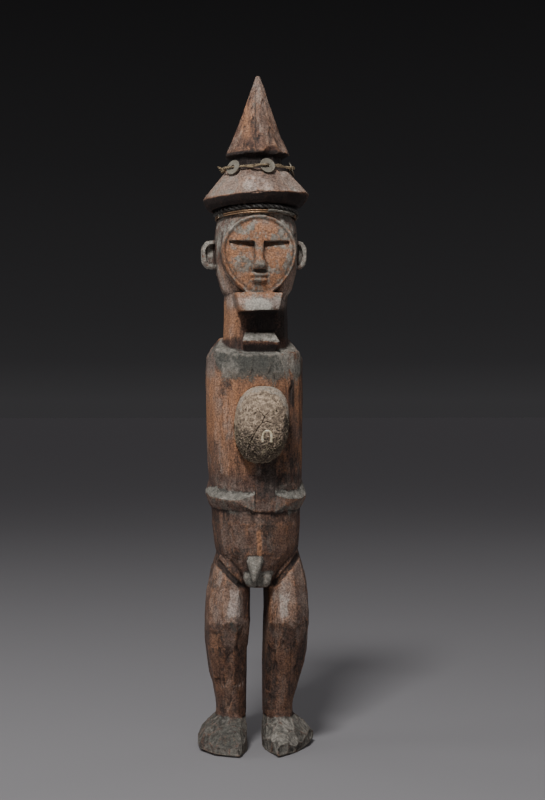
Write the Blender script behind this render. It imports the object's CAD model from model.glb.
# %% [markdown]
# # A carved wooden figure with a resin lump, coins and cords
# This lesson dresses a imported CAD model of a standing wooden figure. The CAD file already holds
# the true forms: hat, mask-like head, trunk, relief arms, legs and feet. What is left for
# Blender is what hands, tools and time did to them: knife facets, grain, cracks, white clay,
# soot, twisted cords and worn coins.

import math
import bmesh
import bpy
import numpy as np
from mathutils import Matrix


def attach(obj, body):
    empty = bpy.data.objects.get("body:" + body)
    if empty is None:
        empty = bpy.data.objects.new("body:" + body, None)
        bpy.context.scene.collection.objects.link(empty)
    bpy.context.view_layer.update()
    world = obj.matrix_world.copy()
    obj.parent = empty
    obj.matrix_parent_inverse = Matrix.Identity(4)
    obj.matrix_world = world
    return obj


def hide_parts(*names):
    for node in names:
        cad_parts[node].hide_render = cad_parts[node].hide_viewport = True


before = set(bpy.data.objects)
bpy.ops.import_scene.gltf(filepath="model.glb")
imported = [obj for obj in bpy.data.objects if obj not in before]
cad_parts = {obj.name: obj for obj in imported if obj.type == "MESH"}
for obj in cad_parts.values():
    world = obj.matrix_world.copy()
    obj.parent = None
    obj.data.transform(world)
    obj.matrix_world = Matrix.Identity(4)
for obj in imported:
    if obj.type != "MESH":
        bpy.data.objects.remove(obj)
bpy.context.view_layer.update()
MM = 0.001
# The log's own axis stands a little off the middle of the bounding box.
AXIS = np.array([0.2, 10.739, 0.0])


def put_in_scene(name, data):
    made = bpy.data.objects.new(name, data)
    bpy.context.scene.collection.objects.link(made)
    return made


print("nodes:", sorted(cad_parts))

# %% [markdown]
# ## Camera
# The camera comes first, because every later look is judged through it. The photograph was
# taken from about 1.65 m, level with the middle of the figure and a few degrees to its right.
# A small sideways shift puts the figure a little left of the middle of the frame.

# %% Camera
CAMERA_TURN = math.radians(-4.5)
CAMERA_AWAY = 1.65
CAMERA_HEIGHT = 0.361
camera_data = bpy.data.cameras.new("camera")
camera_data.sensor_fit = "VERTICAL"
camera_data.sensor_height = 36
camera_data.lens = 70.7
camera_data.shift_x = 0.0206
camera = put_in_scene("camera", camera_data)
camera.location = (
    AXIS[0] * MM + math.sin(CAMERA_TURN) * CAMERA_AWAY,
    AXIS[1] * MM - math.cos(CAMERA_TURN) * CAMERA_AWAY,
    CAMERA_HEIGHT,
)
camera.rotation_euler = (math.pi / 2, 0, CAMERA_TURN)
bpy.context.scene.camera = camera
print("camera at", tuple(round(v, 3) for v in camera.location))

# %% [markdown]
# ## Light
# A soft lamp stands high on the viewer's left, as in a museum studio, so every cut shows a lit side
# and a dark side. Wide weak lamps fill the shadows, because one lamp alone would leave them black.

# %% Lamps
def lamp(name, place, aim, power, width, height):
    data = bpy.data.lights.new(name, "AREA")
    data.shape = "RECTANGLE"
    data.size = width
    data.size_y = height
    data.energy = power
    made = put_in_scene(name, data)
    made.location = place
    direction = np.array(aim) - np.array(place)
    tilt = math.atan2(math.hypot(direction[0], direction[1]), -direction[2])
    made.rotation_euler = (tilt, 0, math.atan2(direction[1], direction[0]) - math.pi / 2)


FIGURE_MIDDLE = (0, 0, 0.35)
lamp("key_light", (-0.38, -1.14, 1.86), (0, 0, 0.4), 29, 0.36, 0.36)
lamp("front_fill", (0.7, -2.3, 0.8), FIGURE_MIDDLE, 3.2, 1.5, 1.5)
lamp("left_fill", (-1.7, -0.1, 0.8), FIGURE_MIDDLE, 4, 0.7, 1.3)
lamp("left_back_fill", (-1.9, 1.5, 1.2), FIGURE_MIDDLE, 2.8, 0.8, 1.2)
lamp("right_back_fill", (2.1, 1.5, 1.2), FIGURE_MIDDLE, 2.2, 0.8, 1.2)
print("five lamps hang round the figure")

# %% [markdown]
# ## Floor and backdrop
# The floor is plain and pale, and so large that it fades into the backdrop without an edge. The
# backdrop is a grey that grows darker with height. Overhead, out of the picture, it is light
# again and gives a soft light from above.

# %% Backdrop and floor
world = bpy.data.worlds.new("studio")
bpy.context.scene.world = world
world.use_nodes = True
sky = world.node_tree
height = sky.nodes.new("ShaderNodeSeparateXYZ")
sky.links.new(sky.nodes.new("ShaderNodeTexCoord").outputs["Generated"], height.inputs[0])
backdrop = sky.nodes.new("ShaderNodeValToRGB")
sky.links.new(height.outputs["Z"], backdrop.inputs[0])
sky.links.new(backdrop.outputs[0], sky.nodes["Background"].inputs["Color"])
# Grey level of the backdrop against the sine of the height above the horizon.
BACKDROP_GREYS = (
    (0.0, 0.0362), (0.025, 0.0255), (0.05, 0.0215), (0.073, 0.0195), (0.147, 0.0137), (0.25, 0.0083),
    (0.5, 0.1), (1.0, 0.16),
)
while len(backdrop.color_ramp.elements) < len(BACKDROP_GREYS):
    backdrop.color_ramp.elements.new(0.5)
for element, (place, grey) in zip(backdrop.color_ramp.elements, BACKDROP_GREYS):
    element.position = place
    element.color = (grey, grey * 0.97, grey * 1.02, 1)

FLOOR_REACH = 30
FLOOR_CORNERS = ((-1, -1), (1, -1), (1, 1), (-1, 1))
floor_corners = [(x * FLOOR_REACH, y * FLOOR_REACH, 0) for x, y in FLOOR_CORNERS]
floor_mesh = bpy.data.meshes.new("floor")
floor_mesh.from_pydata(floor_corners, [], [(0, 1, 2, 3)])
floor = put_in_scene("floor", floor_mesh)
floor_finish = bpy.data.materials.new("pale_floor")
floor_finish.use_nodes = True
floor_shader = floor_finish.node_tree.nodes["Principled BSDF"]
floor_shader.inputs["Base Color"].default_value = (0.32, 0.31, 0.32, 1)
floor_shader.inputs["Roughness"].default_value = 0.75
floor_mesh.materials.append(floor_finish)
print("the floor reaches", FLOOR_REACH, "m each way")

# %% [markdown]
# ## Small tools for numbers
# Carving by code means moving the points of a fine mesh. Three tools are enough: a smooth step
# from 0 to 1, a random noise that is the same on every run, and a softened box that says how
# far inside a region each point lies. Everything works on whole arrays at once, in millimetres
# from the log's own axis.

# %% Steps and noise
def rise(value, low, high):
    """0 at low and below, 1 at high and above, smooth between."""
    share = np.clip((value - low) / (high - low), 0, 1)
    return share * share * (3 - 2 * share)


def within(value, low, high, soft):
    """1 between low and high and 0 outside them, each edge spread by soft to both sides."""
    return rise(value, low - soft, low + soft) * (1 - rise(value, high - soft, high + soft))


def lattice(ix, iy, iz, seed):
    mixed = (ix * 374761393 + iy * 668265263 + iz * 1274126177 + seed * 144269504) & 0xFFFFFFFF
    mixed = ((mixed ^ (mixed >> 13)) * 1274126177) & 0xFFFFFFFF
    return ((mixed ^ (mixed >> 16)) & 0xFFFF) / 65535.0


def noise(points, size, seed, stretch=(1, 1, 1), octaves=1):
    """Soft random values from -1 to 1. Size is in millimetres."""
    total = np.zeros(len(points))
    weight = 0
    for octave in range(octaves):
        place = points / (size * np.array(stretch) / 2**octave)
        base = np.floor(place).astype(np.int64)
        part = place - base
        part = part * part * (3 - 2 * part)
        value = np.zeros(len(points))
        for corner in range(8):
            step = np.array([corner & 1, corner >> 1 & 1, corner >> 2 & 1])
            share = np.prod(np.where(step, part, 1 - part), axis=1)
            value += share * lattice(*(base + step).T, seed + 17 * octave)
        total += (value * 2 - 1) / 1.6**octave
        weight += 1 / 1.6**octave
    return total / weight


sample = noise(np.random.default_rng(1).uniform(0, 99, (2000, 3)), 5, 3, octaves=3)
print("noise runs from", sample.min().round(2), "to", sample.max().round(2))

# %% [markdown]
# ## Small tools for meshes
# The CAD solid has few, large faces. A voxel remesh turns a copy of it into an even skin of
# points about a millimetre apart, which can then be moved freely. The alternative, subdividing
# the CAD faces, would leave long thin triangles that crease badly.

# %% Mesh tools
def even_copy(node, name, voxel):
    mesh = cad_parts[node].data.copy()
    shell = bmesh.new()
    shell.from_mesh(mesh)
    bmesh.ops.remove_doubles(shell, verts=shell.verts, dist=1e-6)
    shell.to_mesh(mesh)
    shell.free()
    mesh.materials.clear()
    piece = put_in_scene(name, mesh)
    modifier = piece.modifiers.new("even skin", "REMESH")
    modifier.mode = "VOXEL"
    modifier.voxel_size = voxel * MM
    bake(piece)
    return piece


def evaluated_mesh(piece):
    """A plain mesh of what a piece's modifiers make."""
    graph = bpy.context.evaluated_depsgraph_get()
    graph.update()
    return bpy.data.meshes.new_from_object(piece.evaluated_get(graph))


def bake(piece):
    """Turns what the modifiers make into the piece's own plain mesh."""
    baked = evaluated_mesh(piece)
    piece.modifiers.clear()
    old = piece.data
    piece.data = baked
    bpy.data.meshes.remove(old)


def thin_out(piece, triangles):
    piece.data.calc_loop_triangles()
    share = triangles / max(len(piece.data.loop_triangles), 1)
    if share < 1:
        modifier = piece.modifiers.new("thinner", "DECIMATE")
        modifier.ratio = share
        bake(piece)
    piece.data.polygons.foreach_set("use_smooth", [True] * len(piece.data.polygons))
    piece.data.calc_loop_triangles()
    print(piece.name, len(piece.data.loop_triangles), "triangles")


print("a copy can be made even, baked and thinned out")

# %% [markdown]
# Carving asks the same things of every mesh: where its points are, which way they face, and how
# far they stand out from the points around them. One class keeps all of it as arrays, moves the
# points, and writes them back at the end.

# %% The skin of a piece
class Skin:
    """The points, edges and triangles of a mesh as arrays, in millimetres from the log's axis."""

    def __init__(self, piece):
        mesh = piece.data
        mesh.calc_loop_triangles()
        flat = np.empty(len(mesh.vertices) * 3)
        mesh.vertices.foreach_get("co", flat)
        self.piece = piece
        self.points = flat.reshape(-1, 3) / MM - AXIS
        corners = np.empty(len(mesh.loop_triangles) * 3, np.int64)
        mesh.loop_triangles.foreach_get("vertices", corners)
        self.triangles = corners.reshape(-1, 3)
        ends = np.empty(len(mesh.edges) * 2, np.int64)
        mesh.edges.foreach_get("vertices", ends)
        self.edges = ends.reshape(-1, 2)

    def gather(self, ends, values):
        return np.bincount(ends, values, len(self.points))

    def normals(self):
        a, b, c = (self.points[self.triangles[:, k]] for k in range(3))
        face = np.cross(b - a, c - a)
        total = np.zeros_like(self.points)
        for corner in range(3):
            for axis in range(3):
                total[:, axis] += self.gather(self.triangles[:, corner], face[:, axis])
        return total / np.maximum(np.linalg.norm(total, axis=1, keepdims=True), 1e-9)

    def neighbours_mean(self, values):
        a, b = self.edges.T
        count = np.maximum(self.gather(a, None) + self.gather(b, None), 1)
        sides = [self.gather(a, side[b]) + self.gather(b, side[a]) for side in values.T]
        return np.column_stack(sides) / count[:, None]

    def melt(self, passes, sharp=0.965):
        """Smooths the skin, but not where it turns sharply within a few points."""
        mean = self.normals()
        for _ in range(4):
            mean = self.neighbours_mean(mean)
        free = rise(np.linalg.norm(mean, axis=1), sharp - 0.03, sharp)[:, None]
        for _ in range(passes):
            self.points += 0.5 * free * (self.neighbours_mean(self.points) - self.points)

    def bulge(self, passes=3):
        """How far each point stands out of the skin around it, in millimetres."""
        mean = self.points
        for _ in range(passes):
            mean = self.neighbours_mean(mean)
        return np.sum((self.points - mean) * self.normals(), axis=1)

    def push(self, distance, normals=None):
        normals = self.normals() if normals is None else normals
        self.points += normals * np.asarray(distance)[:, None]

    def write(self):
        flat = ((self.points + AXIS) * MM).astype(np.float32).ravel()
        self.piece.data.vertices.foreach_set("co", flat)
        self.piece.data.update()

    def paint(self, name, values):
        layer = self.piece.data.attributes.new(name, "FLOAT", "POINT")
        layer.data.foreach_set("value", np.clip(values, 0, 1).astype(np.float32))


print("a skin can be melted, pushed and painted")

# %% [markdown]
# ## Tool marks
# A knife or an adze leaves cells: each stroke makes one small face, and ridges stand between
# strokes. Random seed points over the skin share it out among themselves, each point going to
# its nearest seed. A knife cell is then pressed flat towards its own mean plane, and an adze
# cell is scooped hollow. Stretching the distance along the log gives long strokes with the grain.

# %% Cells of strokes
def traits(points, normals, spacing, stretch, turn):
    """Place and direction together. The larger the turn, the less a stroke bends round an edge."""
    return np.hstack([points / (spacing * np.array(stretch)), normals * turn])


def nearest(features, seeds):
    """Which seed is nearest, how near it is, and how far inside its cell each point lies."""
    owner = np.zeros(len(features), np.int64)
    gap = np.zeros(len(features))
    inside = np.zeros(len(features))
    for part in np.array_split(np.arange(len(features)), len(features) // 20000 + 1):
        near = features[part]
        apart = np.sum(near**2, 1)[:, None] + np.sum(seeds**2, 1)[None] - 2 * near @ seeds.T
        owner[part] = apart.argmin(1)
        closest = np.sqrt(np.maximum(np.partition(apart, 1, axis=1)[:, :2], 0))
        gap[part] = closest[:, 0]
        inside[part] = closest[:, 1] - closest[:, 0]
    return owner, gap, inside


def cells(points, normals, chosen, spacing, stretch, seed, turn=1.6):
    """Shares the chosen points out among random seeds that keep their distance."""
    features = traits(points[chosen], normals[chosen], spacing, stretch, turn)
    seeds = features[:1]
    for place in np.random.default_rng(seed).permutation(features)[:5000]:
        if np.min(np.sum((seeds - place) ** 2, axis=1)) > 1:
            seeds = np.vstack([seeds, place])
    owner, _, inside = nearest(features, seeds)
    return owner, inside, seeds


print("seeds lie at least one spacing apart")

# %% [markdown]
# Both tools work on these cells. The knife also keeps the seeds of its strokes, so that the same
# strokes can be tinted later, when the finished figure is painted.

# %% Knife and adze
STROKES = []


def knife(skin, where, spacing, stretch, amount, seed, turn=1.6):
    """Presses each cell towards its own mean plane, where it is near that plane already."""
    chosen = where > 0.01
    points = skin.points[chosen]
    normals = skin.normals()[chosen]
    owner, _, seeds = cells(skin.points, skin.normals(), chosen, spacing, stretch, seed, turn)
    size = np.maximum(np.bincount(owner, minlength=len(seeds)), 1)[:, None]
    centre = np.column_stack([np.bincount(owner, side, len(seeds)) for side in points.T]) / size
    facing = np.column_stack([np.bincount(owner, side, len(seeds)) for side in normals.T]) / size
    facing /= np.maximum(np.linalg.norm(facing, axis=1, keepdims=True), 1e-9)
    off = np.sum((centre[owner] - points) * facing[owner], axis=1)
    agree = rise(np.sum(normals * facing[owner], axis=1), 0.7, 0.85)
    beyond = 1 - rise(np.abs(off), 0.9, 1.8)
    distance = np.clip(off, -0.9, 0.9) * beyond * amount * where[chosen] * agree
    skin.points[chosen] += facing[owner] * distance[:, None]
    STROKES.append((points[:, 2].min(), points[:, 2].max(), spacing, stretch, turn, seeds))
    print(skin.piece.name, "knife strokes:", len(seeds))


def adze(skin, where, spacing, stretch, depth, seed, turn=1.6):
    """Scoops each cell hollow and leaves its border standing."""
    chosen = where > 0.01
    _, inside, seeds = cells(skin.points, skin.normals(), chosen, spacing, stretch, seed, turn)
    bite = np.zeros(len(where))
    bite[chosen] = np.clip(inside * 1.7, 0, 1) ** 0.6
    skin.push(-depth * where * bite)
    print(skin.piece.name, "adze strokes:", len(seeds))


def stroke_tones(points, normals):
    """A tone from -1 to 1 for each stroke, and a number near 1 along the borders of strokes."""
    tone = np.zeros(len(points))
    border = np.zeros(len(points))
    for low, high, spacing, stretch, turn, seeds in STROKES:
        chosen = np.flatnonzero((points[:, 2] > low) & (points[:, 2] < high))
        features = traits(points[chosen], normals[chosen], spacing, stretch, turn)
        owner, gap, inside = nearest(features, seeds)
        near = gap < 1.1
        random = np.random.default_rng(7).uniform(-1, 1, len(seeds))
        tone[chosen[near]] = random[owner[near]]
        border[chosen[near]] = 1 - rise(inside[near], 0, 0.14)
    return tone, border


print("tools: knife and adze")

# %% [markdown]
# ## Where the clay, the soot and the bare wood lie
# The look of the figure is mostly its coats: pale river clay rubbed over the hat, face, shoulders,
# forearms, knees and feet, dark smoke and oil in the hollows, and orange wood where hands wore
# the surface through. One function gives all of them from a point's place and facing, so the
# same coat can both raise the skin a little and colour it.

# %% Heights and noise for the coats
# Heights above the floor, in millimetres, where the parts of the log begin and end.
ANKLE = 34
KNEE = 133
FORK = 166
ARMS_FOOT = 244
CHEST_FOOT = 284
NECK_FOOT = 424
HEAD_FOOT = 466
HEAD_TOP = 556
HAT_FOOT = 564
HAT_GROOVE = 604
HAT_TOP = 705
# The middle and the half width and height of the resin lump's outline.
LUMP = {"x": 2.2, "z": 336.0, "wide": 27, "tall": 38}


def lump_reach(x, z):
    """Distance from the middle of the lump, as a share of its outline."""
    return np.hypot((x - LUMP["x"]) / LUMP["wide"], (z - LUMP["z"]) / LUMP["tall"])


class Ground:
    """The points of a skin with what the coats ask of them."""

    def __init__(self, points, normals):
        self.points = points
        self.x, self.y, self.z = points.T
        self.front = -normals[:, 1]
        self.left = -normals[:, 0]
        self.up = normals[:, 2]
        self.blot = noise(points, 14, 11, (1, 1, 1.6), 3)
        self.fleck = noise(points, 3.2, 12, (1, 1, 1.3), 2)
        self.streak = noise(points, 3.4, 13, (1, 1, 4.5), 3)
        self.band = noise(points, 8, 14, (1, 1, 3), 2)
        self.coats = {name: np.zeros(len(points)) for name in ("clay", "pale", "bare", "soot", "dust")}

    def lay(self, name, values):
        self.coats[name] = np.maximum(self.coats[name], values)

    def blank(self, name, share):
        self.coats[name] = self.coats[name] * (1 - share)


print("from floor to hat top:", HAT_TOP, "mm")

# %% [markdown]
# The hat is weathered wood with dust in long streaks. The brim is paler, with clay on its front,
# and it is black with smoke underneath. The groove where the cord lies is dark all round.

# %% Coat of the hat
def coat_hat(g):
    hat = within(g.z, HAT_FOOT, HAT_TOP, 3)
    top = hat * rise(g.up, 0.0, 0.25)
    brim = within(g.z, 571, HAT_GROOVE, 2) * rise(g.up, 0.1, 0.4)
    faded = 0.2 * rise(g.z, 650, 700) + 0.16 * rise(g.x, -8, 8)
    g.lay("dust", top * (0.36 + 0.4 * g.streak + 0.3 * g.blot + faded))
    g.lay("dust", brim * (0.8 + 0.25 * g.blot + 0.25 * g.fleck + 0.12 * rise(g.x, 16, 24)))
    g.lay("pale", brim * rise(g.x, 16, 24) * (0.5 + 0.3 * g.blot))
    g.lay("clay", top * (0.14 + 0.2 * g.blot + 0.25 * g.fleck))
    g.lay("clay", brim * (0.24 + 0.3 * g.blot + 0.25 * g.fleck))
    middle = brim * within(g.x, -18, 17, 8) * within(g.z, 574, 592, 4)
    g.lay("pale", hat * (0.35 + 0.35 * g.blot))
    g.lay("pale", middle * (0.74 + 0.7 * g.blot + 0.4 * g.fleck))
    g.lay("dust", middle * (0.9 + 0.3 * g.fleck))
    front_streaks = within(g.x, -17, -5, 4) * within(g.z, 628, 684, 10)
    g.lay("bare", top * (0.3 + 0.6 * g.streak + front_streaks * (0.4 + 0.8 * g.streak)))
    g.lay("bare", brim * (0.5 + 0.9 * g.blot))
    ridge = within(g.x, -7, 0, 2) * within(g.z, 614, 692, 6) * rise(g.front, 0, 0.4)
    g.lay("soot", ridge * (0.36 + 0.4 * g.streak))
    g.lay("soot", top * (0.1 - 0.7 * g.streak + 0.3 * g.fleck) * within(g.z, 600, HAT_TOP, 3))
    under = within(g.z, 548, 574, 1) * rise(-g.up, -0.1, 0.2)
    middle_under = under * (1 - rise(np.abs(g.x - 2), 26, 50))
    g.lay("soot", under * (0.6 + 0.35 * g.blot) + 0.6 * middle_under)
    g.blank("clay", middle_under)
    g.blank("dust", under * 0.6 + 0.4 * middle_under)
    g.blank("bare", under * 0.8)
    waist = within(g.z, 599.5, 618, 1.5) * (1 - rise(np.hypot(g.x, g.y), 33.5, 35))
    g.lay("soot", waist)
    g.blank("dust", waist)
    g.blank("clay", waist)
    g.blank("bare", waist)
    burn = within(g.x, 5, 26, 4) * rise(g.front, -0.2, 0.3) * within(g.z, 604, 618 + 4 * g.fleck, 5)
    g.lay("soot", burn * 1.2)
    g.blank("dust", burn)


print("the hat is", HAT_TOP - HAT_FOOT, "mm high")

# %% [markdown]
# The face is warm bare wood, with clay left in patches and along its rim. The ears keep their
# clay, the jaw beside the face is bare and dusty, and the back of the head is dark.

# %% Coat of the head
def coat_head(g):
    head = within(g.z, HEAD_FOOT, HEAD_TOP, 3)
    mask = head * rise(-g.y, 30, 36) * rise(g.front, -0.3, 0.2)
    forward = rise(-g.y, -14, 10)
    reach = np.hypot(g.x / 39, (g.z - 506) / 43)
    g.lay("dust", head * (0.25 + 0.35 * forward + 0.3 * g.blot))
    g.lay("clay", head * forward * (0.46 + 0.3 * g.blot + 0.4 * g.fleck))
    ears = within(g.z, 486, 534, 2) * rise(np.abs(g.x), 43.5, 46)
    g.lay("clay", ears * (0.7 + 0.3 * g.fleck))
    g.lay("pale", ears * 0.75)
    g.lay("pale", head * (0.45 + 0.35 * g.blot + 0.45 * g.fleck))
    g.lay("soot", head * (1 - forward) * (0.35 + 0.3 * g.blot))
    warm = noise(g.points, 15, 15, octaves=2)
    touched = np.maximum(warm, 0.5 * rise(g.front, 0.8, 1.0) - 0.3) * (1 - rise(reach, 0.8, 1.0))
    plate = mask * (1 - rise(reach, 0.92, 1.0))
    spots = noise(g.points, 2.6, 26, octaves=2)
    g.blank("clay", plate)
    g.blank("dust", plate)
    g.lay("bare", mask * (0.9 + 0.6 * touched + 0.3 * g.fleck))
    g.lay("dust", plate * (0.32 + 0.7 * spots))
    rubbed = rise(noise(g.points, 15, 28, octaves=3), 0.0, 0.22)
    g.lay("clay", plate * (0.36 - 0.7 * touched + 0.55 * g.fleck))
    g.lay("clay", plate * rubbed * (0.66 + 0.4 * g.fleck))
    g.lay("soot", plate * rubbed * (0.3 + 0.4 * g.fleck))
    g.lay("soot", plate * (0.12 + 0.8 * noise(g.points, 3.4, 27, octaves=2) - 0.4 * touched))
    rim = mask * rise(reach, 0.88, 0.98)
    g.lay("clay", rim * (0.5 + 0.6 * g.fleck + 0.2 * g.blot))
    jaw = within(g.z, 455, 500, 6) * rise(-g.y, 4, 16) * (1 - mask) * (1 - ears)
    g.lay("bare", jaw * (0.95 + 0.4 * g.blot))
    g.lay("dust", jaw * (0.9 + 0.3 * g.fleck))
    g.lay("pale", jaw * (0.6 + 0.2 * g.blot))
    g.blank("soot", jaw * 0.8)
    g.blank("clay", jaw * 0.5)
    beard = within(g.z, 450, 471, 1) * rise(-g.y, 43, 47) * rise(g.front, 0.2, 0.6)
    g.lay("bare", beard * (0.75 + 0.4 * g.fleck))
    g.blank("clay", beard)
    middle = 1 - rise(np.hypot((g.x + 2) / 1.6, (g.z - 457) * 1.1 + 2 * g.blot), 6, 11)
    g.lay("clay", beard * (0.3 + 0.6 * middle + 0.4 * g.fleck))
    g.lay("pale", beard * (0.7 + 0.35 * middle))


print("the head is", HEAD_TOP - HEAD_FOOT, "mm high")

# %% [markdown]
# The neck is dark on the viewer's right and bare on the left. The lip at its foot has clay on
# top and a black lower edge.

# %% Coat of the neck
def coat_neck(g):
    neck = within(g.z, NECK_FOOT, HEAD_FOOT, 2)
    g.lay("soot", neck * (0.08 + 0.68 * rise(g.x, -20, 4) + 0.15 * g.blot) * rise(-g.y, -10, 10))
    g.lay("bare", neck * (rise(-g.x, 14, 24) + 0.2 * g.band))
    g.lay("pale", neck * (0.2 + 0.6 * g.blot) * rise(-g.x, 14, 24))
    g.lay("dust", neck * (0.22 + 0.6 * g.blot) * rise(-g.x, 14, 24))
    g.lay("dust", neck * (0.2 + 0.3 * g.blot) * (1 - rise(-g.y, 20, 32)))
    over = 424 + 0.36 * (g.y - 2)
    lip = within(g.z, over, 433, 0.6) * rise(-g.y, 30.5, 32) * within(g.x, -18.5, 22.5, 0.6)
    g.blank("soot", lip)
    g.lay("clay", lip * rise(g.up, 0.1, 0.5) * (0.72 + 0.3 * g.fleck))
    g.lay("pale", lip * (0.6 + 0.35 * g.fleck))
    g.lay("clay", lip * rise(g.z + 1.5 * g.fleck, 419, 423) * 0.8)
    g.lay("soot", lip * (1 - rise(g.z + 1.5 * g.fleck, 416, 420)) * 0.95)


print("the neck is", HEAD_FOOT - NECK_FOOT, "mm high")

# %% [markdown]
# A yoke of clay lies over the shoulders and ends in an uneven edge on the chest. It is thick and
# pale along the top, and rubbed thinner on the viewer's right.

# %% Coat of the shoulders
def coat_yoke(g):
    top = 423 + 0.36 * (g.y - 2)
    below = 1 - rise(g.z, top + 0.4, top + 1.6)
    foot = 386 + 18 * rise(np.abs(g.x - 2), 36, 52) + 9 * g.blot + 3 * g.fleck + 4 * g.band
    yoke = within(g.z, 340, 436, 2) * rise(g.z, foot - 14, foot + 8) * rise(-g.y, -20, 6) * below
    right = rise(g.x, 10, 26)
    g.lay("clay", yoke * (0.9 + 0.12 * g.fleck - 0.35 * right * rise(g.band, -0.2, 0.5)))
    g.lay("pale", yoke * (-0.18 + 0.3 * g.blot + 0.5 * right + 0.15 * g.fleck))
    g.lay("pale", yoke * rise(-g.x, 16, 26) * (0.1 + 0.3 * g.blot))
    g.lay("pale", yoke * right * (0.42 + 0.3 * g.blot))
    g.lay("bare", yoke * right * (0.3 + 0.4 * g.band))
    corner = within(g.z, 384, 424, 4) * rise(-g.x, 42, 46) * rise(g.front, -0.4, 0.2)
    g.lay("dust", corner * (0.85 + 0.3 * g.fleck))
    g.blank("clay", corner * 0.4)
    fringe = within(g.z, foot - 15, foot, 4) * rise(g.front, 0, 0.5)
    g.lay("dust", fringe * (0.3 + 0.4 * g.fleck + 0.3 * g.blot))
    g.lay("pale", yoke * rise(np.hypot((g.x + 30) / 1.2, g.z - 392), 12, 5) * 0.4)
    g.lay("bare", yoke * rise(g.x, 42, 47) * 0.6)
    ledge = rise(g.up, 0.6, 0.85) * within(g.z, top - 3, top + 3, 1) * rise(-g.y, 12, 26)
    crust = rise(g.z, top - 1.5 + 1.2 * g.fleck, top - 0.5 + 1.2 * g.fleck) * below * rise(-g.y, 4, 20)
    crust = np.maximum(crust * within(g.z, 388, 436, 2), ledge)
    g.lay("clay", crust * (0.7 + 0.4 * g.fleck))
    g.lay("pale", crust * (0.42 + 0.3 * g.fleck + 0.2 * g.blot))
    shoulder = rise(g.up, 0.55, 0.85) * within(g.z, 392, 440, 2) * (1 - ledge)
    g.lay("dust", shoulder * (0.5 + 0.3 * g.blot))
    g.lay("clay", shoulder * (0.3 + 0.3 * g.blot + 0.2 * g.fleck))
    g.lay("pale", shoulder * 0.4)


print("the shoulders start at the neck's foot,", NECK_FOOT, "mm up")

# %% [markdown]
# The chest is rubbed to orange wood on the viewer's left and dusty elsewhere. Dark stains lie
# under the lump and in the notches beside the upper arms, and the back is smoked and plain.

# %% Coat of the chest
def coat_chest(g):
    chest = within(g.z, CHEST_FOOT, 392, 6)
    frontal = rise(g.front, -0.3, 0.3)
    wander = noise(g.points, 11, 16, (1, 1, 1.3), 3)
    left = rise(-g.x, 15, 27) * rise(g.y, 60, 0)
    lower = 1 - 0.75 * (1 - rise(g.z + 10 * g.blot, 288, 340))
    g.lay("bare", chest * left * lower * (0.95 + 0.2 * g.streak + 0.5 * wander))
    g.lay("dust", chest * left * within(g.x, -48, -26, 5) * (0.3 + 0.5 * g.streak))
    g.lay("pale", chest * left * (0.16 + 0.5 * g.band))
    g.lay("bare", within(g.z, 366, 390, 4) * (0.72 + 0.4 * g.fleck) * rise(g.front, 0, 0.5))
    g.lay("bare", chest * (0.42 + 0.25 * g.streak + 0.7 * wander))
    g.lay("soot", chest * frontal * (-0.05 - 0.6 * wander + 0.25 * g.fleck))
    g.lay("dust", chest * within(g.x, -47, -38, 2.5) * rise(g.front, -0.6, 0) * (0.5 + 0.3 * g.streak))
    g.lay("dust", chest * (0.26 - 0.8 * wander + 0.2 * g.fleck) * (1 - 0.35 * rise(g.x, 20, 34)))
    g.lay("soot", chest * rise(g.x, 24, 36) * frontal * (0.06 + 0.35 * g.blot))
    stain = within(g.z, 262, 312, 9) * within(g.x, 0, 34, 9) * frontal
    g.lay("soot", stain * (0.66 + 0.2 * g.fleck + 0.2 * g.blot))
    g.lay("soot", within(g.x, 23, 36, 4) * within(g.z, 296, 340, 10) * frontal * (0.5 + 0.3 * g.fleck))
    low_left = within(g.z, 290, 326, 12) * rise(-g.x, 0, 20) * frontal
    g.lay("soot", low_left * (0.28 + 0.3 * g.fleck + 0.3 * g.blot))
    g.lay("soot", within(g.z, 258, 316, 8) * rise(g.x, -38, -10) * (0.46 + 0.2 * g.fleck + 0.3 * g.blot))
    g.lay("dust", within(g.z, 262, 300, 8) * (0.26 + 0.4 * g.blot + 0.25 * g.fleck))
    g.lay("soot", within(g.z, 234, 250, 3) * (0.42 + 0.3 * g.blot) * rise(g.front, -0.5, 0.4))
    drop = np.clip((385 - g.z) / 26, 0, 1)
    left_notch = 1 - rise(np.abs(g.x + 33.5) - 3 - 5 * drop, 0, 3)
    left_notch = left_notch * within(g.z, 362, 383, 5) * (0.9 - 0.5 * drop)
    right_notch = within(g.x, 32.5, 37.5, 2) * within(g.z, 352, 384, 5)
    shaded = within(g.x, 29, 40, 4) * within(g.z, 300, 372, 14) * 0.2
    notch = np.maximum(np.maximum(left_notch, right_notch), shaded) * rise(g.front, -0.2, 0.4)
    g.lay("soot", notch * (0.84 + 0.12 * g.fleck))
    g.blank("bare", notch * 0.7)
    g.blank("dust", notch * 0.6)
    back = chest * rise(g.y, -6, 20)
    g.lay("soot", back * (0.25 + 0.4 * g.blot))
    g.lay("dust", back * (0.2 + 0.4 * g.streak))


print("the chest is", NECK_FOOT - CHEST_FOOT, "mm high")

# %% [markdown]
# The forearms lie round the body like a shelf, so their top faces are thick with pale clay and
# their undersides are dark. The small panel between the hands is dull and has hardly any clay.

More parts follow.
